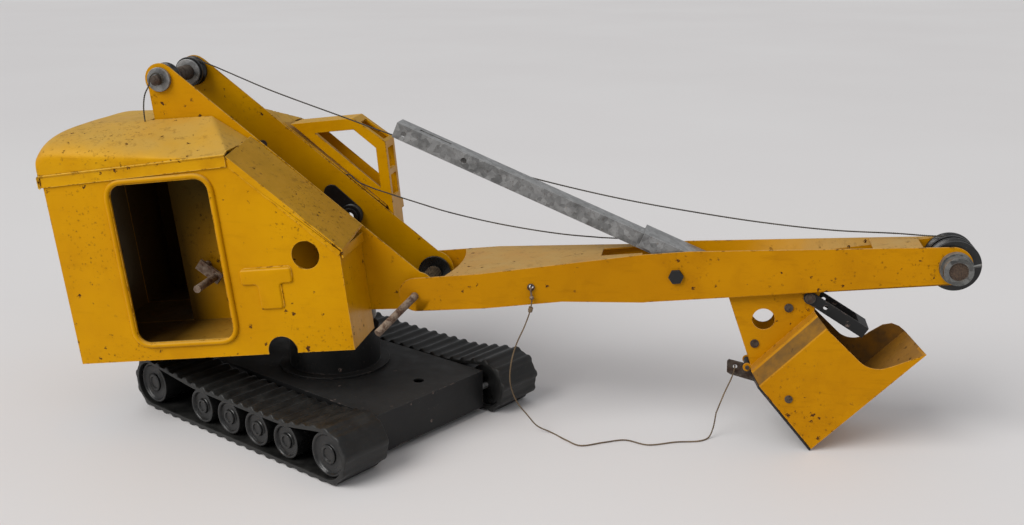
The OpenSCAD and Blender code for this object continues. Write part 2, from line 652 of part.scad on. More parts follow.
// ---------- cords ----------
// a point of the leaning house frame, as a point of the whole toy
function in_house(p) = [p.x * cos(lean) - p.z * sin(lean) - toy_mid, p.y,
    p.x * sin(lean) + p.z * cos(lean) + house_lift];
function around(at, y, r, turns) = [for (a = turns) [at.x + r * cos(a), y, at.y + r * sin(a)]];
// from the drum up over the gantry pulley, sagging out to the boom tip and over its far sheave
hoist_route = [for (p = concat(
    around([-87, 62], 24.5, 10.3, [300, 240, 180]),
    around(hub, 24.5, 10.5, [180, 140, 100, 66]),
    [[-30, 24, 191], [29, 23.5, 163.5], [62, 22, 148.5], [120, 20, 124], [175, 18, 103.5],
        [245, 16, 81], [310, 14, 64], [360, 13, 52.5], [410, 11, 43.5], [457, 9, 38], [478, 8, 35]],
    around(tip, 8, 16.7, [84, 50, 15, -20, -55]))) in_house(p)];
// out over the edge of the left cheek and down to the side of the saddle
crowd_route = [for (p = [[-8, 33.2, 102], [8, 33.2, 109], [18, 33.2, 114.5], [23, 32, 114.2], [28, 30, 109.5],
    [40, 29, 103], [57, 28, 96], [80, 26.5, 87], [104, 25, 78], [148, 22, 65], [197, 19, 54],
    [230, 17, 49], [258, 15.3, 46.2], [268, 15.3, 45.5]]) in_house(p)];
// from the boom's hook down to the ground, along it, and up to the hole in the dump lever
dump_route = concat(
    [for (p = [[178, -37, 16.6], [176, -37, 9], [170, -37, -4], [161, -37, -20], [155, -36.5, -36],
        [152.5, -36, -52], [156, -36, -68]]) in_house(p)],
    [for (p = [[171, -36, 15.5], [179, -35, 6], [190, -34, 0.8], [203, -46, 0.8], [216, -55, 0.8],
        [234, -46, 0.8], [250, -39, 0.8], [268, -45, 0.8], [290, -36, 0.8], [308, -31, 0.8],
        [315, -24, 1.2], [318, -20, 7], [320, -18, 20], [326, -13, 36], [331, -8, 47], [333, -4, 53.2],
        [333.2, 0, 54.3]]) p - [toy_mid, 0, 0]]);
// over the near end of the gantry axle and down through the hole in the roof
tail_route = [for (p = concat(around(hub, -38, 5.6, [-30, 30, 90, 150]),
    [[-105, -38, 211], [-110, -38, 204], [-113, -37.5, 196], [-114.5, -37, 188], [-115, -36.5, 178],
        [-114, -36.5, 166]])) in_house(p)];
module hoist_cord() color(string) cord(hoist_route);
module crowd_cord() color(string) cord(crowd_route);
module dump_cord() color(string) cord(dump_route);
module tail_cord() color(string) cord(tail_route);

chassis_frame();
turntable_drum();
king_pin();
king_nut();
wheel_axles();
right_belt();
left_belt();
belt_wheel(-1, 1);  // right_front_wheel
belt_wheel(-1, -1);  // right_rear_wheel
belt_wheel(1, 1);  // left_front_wheel
belt_wheel(1, -1);  // left_rear_wheel
road_roller(-1, 0);  // right_roller_1
road_roller(-1, 1);  // right_roller_2
road_roller(-1, 2);  // right_roller_3
road_roller(-1, 3);  // right_roller_4
road_roller(1, 0);  // left_roller_1
road_roller(1, 1);  // left_roller_2
road_roller(1, 2);  // left_roller_3
road_roller(1, 3);  // left_roller_4
floor_plate();
right_side_panel();
left_side_panel();
rear_panel();
roof_panel();
right_hood();
left_hood();
cab_frame();
main_channel();
gantry_axle();
gantry_washers();
right_gantry_pulley();
left_gantry_pulley();
idler_pulley();
idler_axle();
hoist_drum();
hoist_crank();
right_boom_plate();
left_boom_plate();
boom_rear_web();
boom_front_web();
foot_spacers();
winch_rod();
winch_spool();
tip_axle();
right_sheave();
left_sheave();
saddle_bolt();
cord_hook();
saddle_sleeve();
dipper_stick();
bucket_bracket();
bracket_rivets();
bucket_shell();
bucket_door();
dump_lever();
bail();
hoist_cord();
crowd_cord();
dump_cord();
tail_cord();
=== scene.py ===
"""Worn pressed-steel toy excavator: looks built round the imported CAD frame. Metres, +Z up."""
import json
import math

import bmesh
import bpy
import numpy as np
from mathutils import Matrix, Vector, noise


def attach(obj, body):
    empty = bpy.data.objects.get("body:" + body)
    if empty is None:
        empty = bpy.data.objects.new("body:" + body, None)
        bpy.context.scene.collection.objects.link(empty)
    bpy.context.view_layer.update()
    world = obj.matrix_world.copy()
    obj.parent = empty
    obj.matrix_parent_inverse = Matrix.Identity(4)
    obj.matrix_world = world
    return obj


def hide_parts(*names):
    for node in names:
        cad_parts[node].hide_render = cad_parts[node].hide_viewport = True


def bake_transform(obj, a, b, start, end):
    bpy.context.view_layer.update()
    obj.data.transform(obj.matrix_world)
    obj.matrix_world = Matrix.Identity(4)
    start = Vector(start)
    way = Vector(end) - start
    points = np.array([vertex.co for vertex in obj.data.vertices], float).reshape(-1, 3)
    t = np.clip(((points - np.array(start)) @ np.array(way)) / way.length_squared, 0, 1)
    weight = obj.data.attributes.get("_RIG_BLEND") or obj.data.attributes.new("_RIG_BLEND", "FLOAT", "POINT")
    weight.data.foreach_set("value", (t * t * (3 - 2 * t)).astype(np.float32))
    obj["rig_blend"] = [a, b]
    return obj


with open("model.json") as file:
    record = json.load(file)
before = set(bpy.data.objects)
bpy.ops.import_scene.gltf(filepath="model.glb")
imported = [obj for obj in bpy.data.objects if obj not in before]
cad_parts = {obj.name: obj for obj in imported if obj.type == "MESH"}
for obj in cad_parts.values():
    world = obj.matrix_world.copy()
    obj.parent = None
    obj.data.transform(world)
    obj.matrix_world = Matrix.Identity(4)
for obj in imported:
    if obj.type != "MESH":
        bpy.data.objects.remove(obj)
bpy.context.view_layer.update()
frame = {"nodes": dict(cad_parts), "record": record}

MM = 0.001
RECORD = frame["record"]
BODY_OF = {n: b for b, ns in RECORD["behaviour"]["bodies"].items() for n in ns}
SLOT_OF = {s["node"]: s["material_slot"] for s in RECORD["subparts"]}

# the house frame leans back about Y and the chassis frame is turned about Z, as in the CAD
LEAN = math.radians(6.5)
SLEW = Vector((-153.5, 0, 0)) * MM
HOUSE = Matrix.Translation(SLEW + Vector((0, 0, 76)) * MM) @ Matrix.Rotation(-LEAN, 4, "Y")
CHASSIS = Matrix.Translation(SLEW) @ Matrix.Rotation(math.radians(-30), 4, "Z")
HUB = (-98, 214)
FOOT = (86, 27)
TIP = (494, 16)


def in_house(x, y, z):
    return HOUSE @ Vector((x * MM, y * MM, z * MM))


# ---------------------------------------------------------------- camera
camera = bpy.data.objects.new("camera", bpy.data.cameras.new("camera"))
bpy.context.collection.objects.link(camera)
camera.data.sensor_width = 36
camera.data.lens = 40.43
camera.data.clip_end = 60
camera.matrix_world = (Matrix.Translation(SLEW + Vector((0.3085, -0.8776, 0.387)))
                       @ Matrix.Rotation(math.radians(10.06), 4, "Z")
                       @ Matrix.Rotation(math.radians(90 - 16.0), 4, "X")
                       @ Matrix.Rotation(math.radians(-0.24), 4, "Z"))
bpy.context.scene.camera = camera
bpy.context.scene.view_settings.view_transform = "Standard"


# ---------------------------------------------------------------- node helpers
class Nodes:
    """One material's node tree. Each call adds a node and returns the output asked for."""

    def __init__(self, name):
        self.mat = bpy.data.materials.new(name)
        self.mat.use_nodes = True
        self.tree = self.mat.node_tree
        self.tree.nodes.clear()
        coords = self.tree.nodes.new("ShaderNodeTexCoord")
        self.p = coords.outputs["Object"]
        self.n = coords.outputs["Normal"]

    def add(self, kind, out=0, inputs=None, **props):
        node = self.tree.nodes.new("ShaderNode" + kind)
        for key, value in props.items():
            setattr(node, key, value)
        for key, value in (inputs or {}).items():
            if isinstance(value, bpy.types.NodeSocket):
                self.tree.links.new(value, node.inputs[key])
            else:
                node.inputs[key].default_value = value
        return node.outputs[out]

    def noise(self, scale, detail=3, rough=0.55, at=None, distortion=0.0):
        return self.add("TexNoise", 0, {"Vector": at or self.p, "Scale": scale, "Detail": detail,
                                        "Roughness": rough, "Distortion": distortion})

    def cells(self, scale, out=0, at=None, feature="F1", **more):
        return self.add("TexVoronoi", out, {"Vector": at or self.p, "Scale": scale, **more}, feature=feature)

    def span(self, value, low, high, to_low=0.0, to_high=1.0):
        return self.add("MapRange", 0, {"Value": value, "From Min": low, "From Max": high,
                                        "To Min": to_low, "To Max": to_high}, clamp=True)

    def math(self, op, a, b=0.0):
        return self.add("Math", 0, {0: a, 1: b}, operation=op, use_clamp=False)

    def mix(self, fac, a, b):
        return self.add("Mix", 2, {0: fac, 6: a, 7: b}, data_type="RGBA")

    def scaled(self, x, y, z):
        return self.add("VectorMath", 0, {0: self.p, 1: (x, y, z)}, operation="MULTIPLY")

    def up(self):
        """How far a surface faces up, from -1 to 1."""
        return self.add("SeparateXYZ", 2, {0: self.n})

    def edge(self, radius, low=0.02, high=0.3):
        """Worn edges: where a rounded normal differs from the true one."""
        soft = self.add("Bevel", 0, {"Radius": radius}, samples=6)
        flat = self.add("NewGeometry", 1)
        turn = self.add("VectorMath", 1, {0: soft, 1: flat}, operation="DOT_PRODUCT")
        return self.span(turn, 1 - low, 1 - high)

    def bump(self, height, distance, strength=1.0, normal=None):
        inputs = {"Height": height, "Distance": distance, "Strength": strength}
        if normal:
            inputs["Normal"] = normal
        return self.add("Bump", 0, inputs)

    def finish(self, color, rough, metallic=0.0, normal=None, **fixed):
        shader = self.tree.nodes.new("ShaderNodeBsdfPrincipled")
        out = self.tree.nodes.new("ShaderNodeOutputMaterial")
        for key, value in {"Base Color": color, "Roughness": rough, "Metallic": metallic,
                           "Normal": normal, **fixed}.items():
            if isinstance(value, bpy.types.NodeSocket):
                self.tree.links.new(value, shader.inputs[key])
            elif value is not None:
                shader.inputs[key].default_value = value
        self.tree.links.new(shader.outputs[0], out.inputs[0])
        return self.mat


def rgb(r, g, b):
    return (r, g, b, 1)


# ---------------------------------------------------------------- materials
def chips(m, scale, share, size, seed):
    """Scattered flakes: a rough-edged dot in a share of the cells of a coarse pattern."""
    wander = m.add("TexNoise", 1, {"Vector": m.p, "Scale": scale * 6, "Detail": 2})
    jitter = m.add("VectorMath", 0, {0: wander, 1: (0.005, 0.005, 0.005)}, operation="MULTIPLY")
    at = m.add("VectorMath", 0, {0: m.p, 1: jitter}, operation="ADD")
    at = m.add("VectorMath", 0, {0: at, 1: (seed, seed, seed)}, operation="ADD")
    far = m.cells(scale, 0, at)
    luck = m.add("SeparateColor", 0, {0: m.cells(scale, 1, at)})
    reach = m.span(luck, 1 - share, 1.0, 0.0, size)
    return m.span(m.math("SUBTRACT", far, reach), -0.03, 0.0, 1.0, 0.0)


def house_point(m):
    """x, y and z in the leaning house frame, in metres."""
    turned = m.add("VectorRotate", 0, {"Vector": m.p, "Center": tuple(HOUSE.translation), "Angle": LEAN},
                   rotation_type="Y_AXIS")
    local = m.add("VectorMath", 0, {0: turned, 1: tuple(HOUSE.translation)}, operation="SUBTRACT")
    return [m.add("SeparateXYZ", k, {0: local}) for k in range(3)]


def shade_and_grime_inside(m):
    """Painted shade with some grime: darkens the closed house, spared in a lit patch low towards the front,
    and deepens down between the channel's cheeks.
    """
    x, y, z = house_point(m)
    off = m.math("ABSOLUTE", y)
    ahead = m.math("MAXIMUM", 0.0, m.math("ADD", x, 0.031))
    room = m.math("MULTIPLY", m.span(off, 0.0841, 0.0846, 1, 0), m.span(off, 0.0312, 0.0314))
    room = m.math("MULTIPLY", room, m.span(x, -0.1838, -0.1832))
    room = m.math("MULTIPLY", room, m.span(x, 0.0444, 0.0452, 1, 0))
    room = m.math("MULTIPLY", room, m.span(m.math("ADD", z, ahead), 0.152, 0.1535, 1, 0))
    # lit: a painted pool of light low towards the front of the room, where the painted shade is mostly left
    # off
    lit = m.math("MULTIPLY", m.span(x, -0.105, -0.062), m.span(z, 0.125, 0.055))
    room = m.math("MULTIPLY", room, m.span(lit, 0.0, 1.0, 0.985, 0.05))
    depth = m.math("SUBTRACT", 0.134, m.math("ADD", x, z))
    depth = m.math("ADD", depth, m.span(m.noise(25, 3), 0.3, 0.7, -0.012, 0.012))
    # well: painted shade between the cheeks, darker the further down and back
    well = m.math("MULTIPLY", m.span(off, 0.0306, 0.0309, 1, 0), m.span(depth, -0.004, 0.05, 0.4, 0.95))
    return m.math("MAXIMUM", room, well)


def scoop(m):
    """Earth rubbed into the inside of the bucket."""
    x, y, z = house_point(m)
    inside = m.span(m.math("ABSOLUTE", y), 0.0329, 0.0334, 1, 0)
    ahead = m.math("ADD", m.math("MULTIPLY", m.math("SUBTRACT", x, 0.341), -0.643),
                   m.math("MULTIPLY", m.math("ADD", z, 0.0565), 0.766))
    inside = m.math("MULTIPLY", inside, m.span(ahead, -0.0731, -0.0726))
    inside = m.math("MULTIPLY", inside, m.span(ahead, -0.0016, -0.0011, 1, 0))
    return m.math("MULTIPLY", inside, m.span(m.noise(55, 5, 0.7), 0.3, 0.62, 0.55, 0.97))


def painted(name, base, deep, dusty, dust=0.8, chip=1.0, wear=1.0, grime=0.5, bare=None, dirt_and_shade_in=None,
            dirt_and_shade_color=(0.022, 0.009, 0.001), shine=0.0, gloss=0.28,
            tint=(1, 0.7, 0.18, 1)):
    """Old enamel on sheet steel: mottled colour, dust on top faces, flakes, rusty edges, bright edges that
    are partly rubbed paint and partly a painted highlight, and an optional darkening mask, used for earth in
    the bucket and for painted shade with grime in the house.
    """
    m = Nodes(name)
    broad = m.noise(8, 4)
    patch = m.noise(38, 5, 0.62)
    color = m.mix(m.span(broad, 0.38, 0.66), base, deep)
    color = m.mix(m.span(patch, 0.5, 0.75, 0, 0.45 * grime), color,
                  rgb(deep[0] * 0.62, deep[1] * 0.52, deep[2]))
    streak = m.noise(1, 5, 0.68, at=m.scaled(34, 34, 200))
    color = m.mix(m.span(streak, 0.55, 0.8, 0, 0.4 * grime), color,
                  rgb(deep[0] * 0.35, deep[1] * 0.3, deep[2]))
    lying = m.span(m.up(), 0.3, 0.95)
    dirt = m.math("MULTIPLY", lying, m.span(patch, 0.25, 0.62, 0.45, 1.0))
    color = m.mix(m.math("MULTIPLY", dirt, dust), color, dusty)
    stain = m.math("MULTIPLY", lying, m.span(m.noise(105, 5, 0.78), 0.55, 0.66))
    color = m.mix(m.math("MULTIPLY", stain, 0.55 * grime), color,
                  rgb(dusty[0] * 0.3, dusty[1] * 0.24, dusty[2] * 0.2))
    rim = m.edge(0.0007, 0.012, 0.2)
    ragged = m.noise(150, 5, 0.75)
    # painted highlight, partly rubbed paint: ragged bits of every edge mixed to a lighter copy of the base
    # colour
    bright = m.math("MULTIPLY", rim, m.span(ragged, 0.4, 0.54))
    color = m.mix(m.math("MULTIPLY", bright, 0.75 * wear), color,
                  rgb(*[min(0.72, c * 1.25 + 0.1) for c in base[:3]]))
    zone = m.span(m.noise(14, 3), 0.36, 0.66, 0.25, 1.0)
    flakes = m.math("MAXIMUM", chips(m, 70, 0.2 * chip, 0.15, 0.0), chips(m, 170, 0.14 * chip, 0.27, 3.1))
    flakes = m.math("MAXIMUM", m.math("MULTIPLY", flakes, m.span(zone, 0.3, 0.5)),
                    m.math("MULTIPLY", chips(m, 420, 0.3 * chip, 0.3, 7.7), m.span(zone, 0.6, 0.8)))
    edges = m.math("MULTIPLY", m.edge(0.0016, 0.01, 0.14),
                   m.span(m.noise(95, 5, 0.8), 0.585 - 0.03 * wear, 0.62 - 0.03 * wear))
    rubbed = m.math("MAXIMUM", flakes, edges)
    bare = bare or (0.085, 0.028, 0.012)
    rust = m.mix(m.span(m.noise(1300, 2), 0.4, 0.6), rgb(*[c * 0.4 for c in bare]), rgb(*bare))
    color = m.mix(rubbed, color, rust)
    # the optional mask darkens the colour: painted shade with grime inside the house, earth inside the bucket
    if dirt_and_shade_in:
        color = m.mix(dirt_and_shade_in(m), color, rgb(*dirt_and_shade_color))
    rough = m.span(m.math("ADD", m.math("MULTIPLY", patch, 0.5), m.math("MULTIPLY", dirt, 0.5)), 0.15, 0.85,
                   0.3 + shine, 0.72)
    rough = m.math("ADD", rough, m.math("MULTIPLY", rubbed, 0.25))
    dents = m.math("ADD", m.math("MULTIPLY", m.noise(15, 2), 0.7), m.math("MULTIPLY", m.noise(55, 2), 0.22))
    normal = m.bump(dents, 0.005, 0.35)
    skin = m.math("SUBTRACT", m.math("MULTIPLY", m.noise(700, 2), 0.14), rubbed)
    return m.finish(color, rough, normal=m.bump(skin, 0.00025, 0.8, normal),
                    **{"Specular IOR Level": gloss, "Specular Tint": tint})


def steel(name, light, dark, rust, rusty=0.0, rough=0.42, metallic=0.75, core=None):
    """Zinc plate or bare rod: patchy spangle, dull spots, and rust by the share rusty or inside the core."""
    m = Nodes(name)
    cell = m.add("SeparateColor", 0, {0: m.cells(SPANGLE, 1)})
    cloud = m.noise(60, 5, 0.7)
    tone_and_shade = m.math("ADD", m.math("MULTIPLY", cell, 0.22), m.math("MULTIPLY", cloud, 0.9))
    # painted light and shade: faces turned up lean to the light colour, faces turned down to the dark
    tone_and_shade = m.math("ADD", tone_and_shade, m.span(m.up(), -0.2, 0.8, -0.22, 0.12))
    color = m.mix(m.span(tone_and_shade, 0.25, 0.85), dark, light)
    spots = m.span(m.noise(420, 4, 0.7), 0.58, 0.66)
    color = m.mix(m.math("MULTIPLY", spots, 0.7), color, rgb(0.05, 0.038, 0.03))
    patch = m.noise(150, 5, 0.75)
    if core:
        out = m.add("VectorMath", 0, {0: m.add("VectorMath", 0, {0: m.p, 1: core}, operation="SUBTRACT"),
                                      1: (1, 0, 1)}, operation="MULTIPLY")
        near = m.add("VectorMath", 1, {0: out}, operation="LENGTH")
        patch = m.math("ADD", patch, m.span(near, 0.0066, 0.0078, 0.4, -0.1))
    bloom = m.span(patch, 0.66 - 0.35 * rusty, 0.78 - 0.3 * rusty)
    deep = rgb(rust[0] * 0.35, rust[1] * 0.3, rust[2] * 0.28)
    color = m.mix(bloom, color, m.mix(m.span(m.noise(900, 3), 0.35, 0.65), rust, deep))
    color = m.mix(m.math("MULTIPLY", m.edge(0.0007, 0.01, 0.2), 0.45), color, light)
    metal = m.math("MULTIPLY", m.math("SUBTRACT", 1.0, m.math("MAXIMUM", bloom, spots)), metallic)
    shine = m.span(m.math("ADD", cloud, m.math("MULTIPLY", bloom, 0.6)), 0.2, 1.1, rough - 0.1, rough + 0.35)
    height = m.math("ADD", m.math("MULTIPLY", m.noise(500, 3), 0.4),
                    m.math("MULTIPLY", bloom, m.noise(1500, 2)))
    return m.finish(color, shine, metal, m.bump(height, 0.0002, 0.6))


def dull(name, base, worn, dust, rough=0.5, amount=0.5, wear=0.7, gloss=0.3):
    """Black rubber or plastic: grey bloom, dust in the top faces, scuffed edges."""
    m = Nodes(name)
    cloud = m.noise(28, 5, 0.65)
    fleck = m.noise(600, 4, 0.7)
    color = m.mix(m.span(cloud, 0.35, 0.7), base, worn)
    lying = m.span(m.up(), -0.2, 0.95, 0.25, 1.0)
    dirt = m.math("MULTIPLY", m.math("MULTIPLY", lying, amount), m.span(m.noise(75, 5, 0.7), 0.42, 0.7))
    color = m.mix(dirt, color, dust)
    scuff = m.math("MULTIPLY", m.edge(0.0011, 0.02, 0.35), m.span(m.noise(160, 4, 0.7), 0.4, 0.62))
    color = m.mix(m.math("MULTIPLY", scuff, wear), color, dust)
    scratch = m.noise(1, 4, 0.7, at=m.scaled(900, 120, 900))
    color = m.mix(m.math("MULTIPLY", m.span(scratch, 0.66, 0.72, 0, 0.7), lying), color,
                  rgb(*[min(1, c * 2.2) for c in dust[:3]]))
    color = m.mix(m.span(fleck, 0.66, 0.71, 0, 0.5), color, dust)
    shine = m.span(m.math("ADD", cloud, dirt), 0.25, 1.0, rough - 0.12, rough + 0.3)
    height = m.math("ADD", m.math("MULTIPLY", fleck, 0.6), m.math("MULTIPLY", m.noise(120, 3), 0.9))
    return m.finish(color, shine, normal=m.bump(height, 0.0002, 0.7), **{"Specular IOR Level": gloss})


def twine(name, base, dark):
    """Twisted string: fibre-fine streaks and greasy dark stretches."""
    m = Nodes(name)
    color = m.mix(m.span(m.noise(40, 4), 0.35, 0.65), base, dark)
    color = m.mix(m.span(m.noise(2600, 2), 0.45, 0.65, 0, 0.55), color,
                  rgb(base[0] * 1.6, base[1] * 1.5, base[2] * 1.3))
    return m.finish(color, 0.85, normal=m.bump(m.noise(3000, 3), 0.0003, 0.9))


SPANGLE = 220  # crystals of the zinc per metre
YELLOW, AMBER = rgb(0.57, 0.27, 0.0), rgb(0.47, 0.2, 0.0)
DUST = rgb(0.5, 0.315, 0.075)
LOOKS = {
    "paint": painted("ochre_enamel", YELLOW, AMBER, DUST, dirt_and_shade_in=shade_and_grime_inside, chip=1.9, wear=1.2),
    "roof": painted("ochre_enamel_roof", rgb(0.6, 0.31, 0.004), AMBER, rgb(0.5, 0.31, 0.07), dust=0.85,
                    chip=2.0, wear=1.3, grime=0.8),
    "hood": painted("ochre_enamel_hood", rgb(0.58, 0.28, 0.003), AMBER, rgb(0.38, 0.21, 0.02),
                    dust=0.85, chip=2.6, wear=1.2, grime=0.9),
    "boom": painted("ochre_enamel_boom", rgb(0.47, 0.2, 0.001), rgb(0.4, 0.16, 0.001), rgb(0.46, 0.31, 0.12),
                    chip=1.5, wear=1.2, grime=0.7),
    "bucket": painted("ochre_enamel_bucket", rgb(0.49, 0.215, 0.001), rgb(0.41, 0.165, 0.001),
                      rgb(0.24, 0.14, 0.045),
                      dust=0.5, chip=1.9, wear=1.4, grime=0.8, dirt_and_shade_in=scoop, dirt_and_shade_color=(0.1, 0.055, 0.022)),
    # a darker copy of the enamel for the floor plate: painted shade, with grime
    "inside": painted("shaded_grimy_enamel", rgb(0.42, 0.18, 0.004), rgb(0.2, 0.085, 0.004), rgb(0.36, 0.2, 0.03),
                      chip=1.6, grime=1.0, dirt_and_shade_in=shade_and_grime_inside),
    "black": painted("black_enamel", rgb(0.009, 0.009, 0.009), rgb(0.013, 0.013, 0.013),
                     rgb(0.028, 0.027, 0.026), dust=0.6,
                     chip=0.9, wear=0.5, grime=0.3, bare=(0.2, 0.15, 0.13), shine=0.08,
                     tint=(1, 1, 1, 1)),
    "rubber": dull("belt_rubber", rgb(0.007, 0.007, 0.007), rgb(0.014, 0.014, 0.013),
                   rgb(0.05, 0.048, 0.044), 0.42, 0.3, gloss=0.4),
    "plastic": dull("wheel_plastic", rgb(0.004, 0.004, 0.004), rgb(0.008, 0.008, 0.008),
                    rgb(0.09, 0.085, 0.08), 0.3, 0.14, 0.5, gloss=0.45),
    "steel": steel("zinc_plate", rgb(0.4, 0.4, 0.398), rgb(0.1, 0.1, 0.099), rgb(0.2, 0.12, 0.07),
                   metallic=0.45),
    "hub": steel("oily_zinc_hub", rgb(0.28, 0.28, 0.27), rgb(0.05, 0.05, 0.048),
                 rgb(0.075, 0.045, 0.026), metallic=0.5,
                 core=tuple(in_house(TIP[0], 0, TIP[1]))),
    "rust": steel("rusted_rod", rgb(0.36, 0.28, 0.21), rgb(0.12, 0.08, 0.055), rgb(0.11, 0.055, 0.03),
                  rusty=0.6,
                  rough=0.6, metallic=0.35),
    "dark": steel("dark_rust", rgb(0.12, 0.09, 0.065), rgb(0.025, 0.018, 0.014),
                  rgb(0.045, 0.022, 0.012), rusty=0.6,
                  rough=0.65, metallic=0.2),
    "string": twine("dark_twine", rgb(0.075, 0.066, 0.052), rgb(0.025, 0.022, 0.02)),
    "tan": twine("tan_twine", rgb(0.2, 0.14, 0.08), rgb(0.07, 0.045, 0.025)),
}
SLOT_LOOK = {"yellow": "paint", "black": "black", "rubber": "rubber", "plastic": "plastic",
             "steel": "steel", "rust": "rust", "string": "string"}
NODE_LOOK = {"roof_panel": "roof", "right_hood": "hood", "left_hood": "hood", "right_boom_plate": "boom",
             "left_boom_plate": "boom", "boom_rear_web": "boom", "boom_front_web": "boom", "tip_axle": "hub",
             "bucket_shell": "bucket", "bucket_bracket": "bucket", "floor_plate": "inside",
             "gantry_axle": "dark",
             "bracket_rivets": "dark", "dump_lever": "dark", "foot_spacers": "dark"}


# ---------------------------------------------------------------- mesh helpers
def piece(name, verts, faces, look, body, slot, smooth=35, replaces=()):
    """A new mesh piece riding on a body, shaded smooth except over edges sharper than smooth degrees."""
    mesh = bpy.data.meshes.new(name)
    mesh.from_pydata([tuple(v) for v in verts], [], faces)
    mesh.update()
    return place(name, mesh, look, body, smooth, replaces)


def place(name, mesh, look, body, smooth=35, replaces=()):
    obj = bpy.data.objects.new(name, mesh)
    bpy.context.collection.objects.link(obj)
    mesh.materials.clear()
    mesh.materials.append(LOOKS[look])
    mesh.shade_smooth()
    mesh.set_sharp_from_angle(angle=math.radians(smooth))
    if replaces:
        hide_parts(*replaces)
    if body:
        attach(obj, body)
    return obj


def baked(obj):
    """Applies obj's modifiers to its mesh."""
    graph = bpy.context.evaluated_depsgraph_get()
    mesh = bpy.data.meshes.new_from_object(obj.evaluated_get(graph), preserve_all_data_layers=True,
                                           depsgraph=graph)
    obj.modifiers.clear()
    obj.data = mesh
    return obj


def merged(node):
    """The CAD node's mesh with shared corners and whole flat faces."""
    bm = bmesh.new()
    bm.from_mesh(frame["nodes"][node].data)
    bmesh.ops.remove_doubles(bm, verts=bm.verts, dist=1e-5)
    bmesh.ops.dissolve_limit(bm, angle_limit=math.radians(0.6), verts=bm.verts, edges=bm.edges)
    mesh = bpy.data.meshes.new("look_" + node)
    bm.to_mesh(mesh)
    bm.free()
    for name in [a.name for a in mesh.attributes if a.name == "custom_normal"]:
        mesh.attributes.remove(mesh.attributes[name])
    return mesh


def refine(node, width=0.00035):
    """A CAD node with its corners rounded, in its own finish."""
    slot = SLOT_OF[node]
    mesh = merged(node)
    obj = bpy.data.objects.new("look_" + node, mesh)
    bpy.context.collection.objects.link(obj)
    mesh.materials.clear()
    mesh.materials.append(LOOKS[NODE_LOOK.get(node, SLOT_LOOK[slot])])
    mesh.shade_smooth()
    bevel = obj.modifiers.new("round", "BEVEL")
    bevel.width = width
    bevel.segments = 2
    bevel.limit_method = "ANGLE"
    bevel.angle_limit = math.radians(32)
    flat = obj.modifiers.new("flat", "WEIGHTED_NORMAL")
    flat.keep_sharp = True
    flat.weight = 100
    baked(obj)
    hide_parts(node)
    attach(obj, BODY_OF[node])
    return obj


def sweep(points, radius, turns_per_m=0.0, lobes=0.0, sides=10, closed_ends=True):
    """A round or twisted tube along points: lobes pinches its section and turns twist it."""
    points = [Vector(p) for p in points]
    verts, faces = [], []
    side = None
    run = 0.0
    for i, p in enumerate(points):
        a, b = points[max(i - 1, 0)], points[min(i + 1, len(points) - 1)]
        way = (b - a).normalized()
        if side is None:
            side = way.cross(Vector((0, 0, 1)) if abs(way.z) < 0.9 else Vector((0, 1, 0))).normalized()
        side = (side - way * side.dot(way)).normalized()
        other = way.cross(side)
        if i:
            run += (p - points[i - 1]).length
        for k in range(sides):
            t = 2 * math.pi * k / sides
            turn = t + 2 * math.pi * turns_per_m * run
            r = radius * (1 - lobes * math.sin(t) ** 2)
            verts.append(p + r * (math.cos(turn) * side + math.sin(turn) * other))
    for i in range(len(points) - 1):
        for k in range(sides):
            n = (k + 1) % sides
            faces.append((i * sides + k, i * sides + n, (i + 1) * sides + n, (i + 1) * sides + k))
    if closed_ends:
        faces.append(tuple(range(sides))[::-1])
        faces.append(tuple(range(len(verts) - sides, len(verts))))
    return verts, faces


def curve_through(points, step=0.0008):
    """A smooth line through points, as closely spaced points (centripetal Catmull-Rom)."""
    p = [Vector(q) for q in points]
    p = [p[0] * 2 - p[1]] + p + [p[-1] * 2 - p[-2]]
    line = []
    for i in range(1, len(p) - 2):
        n = max(2, int((p[i + 1] - p[i]).length / step))
        a, b, c, d = p[i - 1:i + 3]
        tb = (b - a).length ** 0.5
        tc = tb + (c - b).length ** 0.5
        td = tc + (d - c).length ** 0.5
        for k in range(n):
            t = tb + (tc - tb) * k / n
            ab, bc, cd = a.lerp(b, t / tb), b.lerp(c, (t - tb) / (tc - tb)), c.lerp(d, (t - tc) / (td - tc))
            line.append(ab.lerp(bc, t / tc).lerp(bc.lerp(cd, (t - tb) / (td - tb)), (t - tb) / (tc - tb)))
    line.append(p[-2])
    return line


# ---------------------------------------------------------------- cords: the CAD's routes
def around(at, y, r, turns):
    return [(at[0] + r * math.cos(math.radians(a)), y, at[1] + r * math.sin(math.radians(a))) for a in turns]


